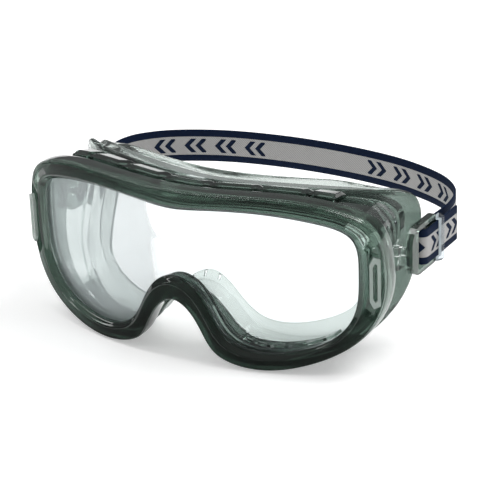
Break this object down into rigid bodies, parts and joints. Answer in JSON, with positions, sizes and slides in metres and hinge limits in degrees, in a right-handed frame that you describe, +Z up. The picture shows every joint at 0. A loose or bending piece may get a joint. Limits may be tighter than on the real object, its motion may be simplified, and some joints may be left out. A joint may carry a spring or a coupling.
{
  "type": "safety goggles",
  "caption": "Wide-vision goggles: clear curved lens in a smoke-tinted frame, soft vented body with face lip, and a striped headband that swings on side clips.",
  "frame": {"origin": "on the table, under the middle of the whole object", "axes": "+Z up, -Y is the way the lens faces, +X is the wearer's left"},
  "size_m": [0.1758, 0.1264, 0.0743],
  "materials": {
    "clear_lens": "clear polycarbonate, polished",
    "smoke_frame": "glossy see-through smoke plastic",
    "smoke_dark": "glossy dark smoke plastic",
    "smoke_soft": "soft see-through vinyl",
    "seal_soft": "thin soft vinyl lip",
    "webbing": "elastic twill webbing, navy edges and grey centre",
    "bar_steel": "plain bar",
    "clear_plastic": "clear plastic"
  },
  "bodies": {
    "goggles": {"lens": "clear_lens", "front_frame": "smoke_frame", "lens_gasket": "smoke_soft", "face_body": "smoke_soft", "face_seal": "seal_soft", "vent_cover_1": "smoke_dark", "vent_cover_2": "smoke_dark", "vent_cover_3": "smoke_dark", "vent_cover_4": "smoke_dark", "vent_cover_5": "smoke_dark", "vent_cover_6": "smoke_dark", "vent_cover_7": "smoke_dark", "cheek_baffle_left": "smoke_dark", "cheek_baffle_right": "smoke_dark", "clip_mount_left": "smoke_soft", "clip_mount_right": "smoke_soft"},
    "headband_set": {"headband": "webbing", "strap_clip_left": "smoke_dark", "strap_clip_right": "smoke_dark", "pivot_pin_left": "smoke_dark", "pivot_pin_right": "smoke_dark", "fold_bar_left": "bar_steel", "fold_bar_right": "bar_steel", "strap_keeper_left": "clear_plastic", "strap_keeper_right": "clear_plastic"},
    "latch_left": {"lens_latch_left": "smoke_frame"},
    "latch_right": {"lens_latch_right": "smoke_frame"}
  },
  "joints": [
    {"name": "headband_swing", "type": "hinge", "parent": "goggles", "child": "headband_set", "pos_m": [0, -0.01445, 0.04319], "axis": [1, 0, 0], "range_deg": [-28, 70]},
    {"name": "latch_left_hinge", "type": "hinge", "parent": "goggles", "child": "latch_left", "pos_m": [0.08257, -0.04071, 0.04069], "axis": [0, 0, 1], "range_deg": [0, 22]},
    {"name": "latch_right_hinge", "type": "hinge", "parent": "goggles", "child": "latch_right", "pos_m": [-0.08257, -0.04071, 0.04069], "axis": [0, 0, -1], "range_deg": [0, 22]}
  ]
}
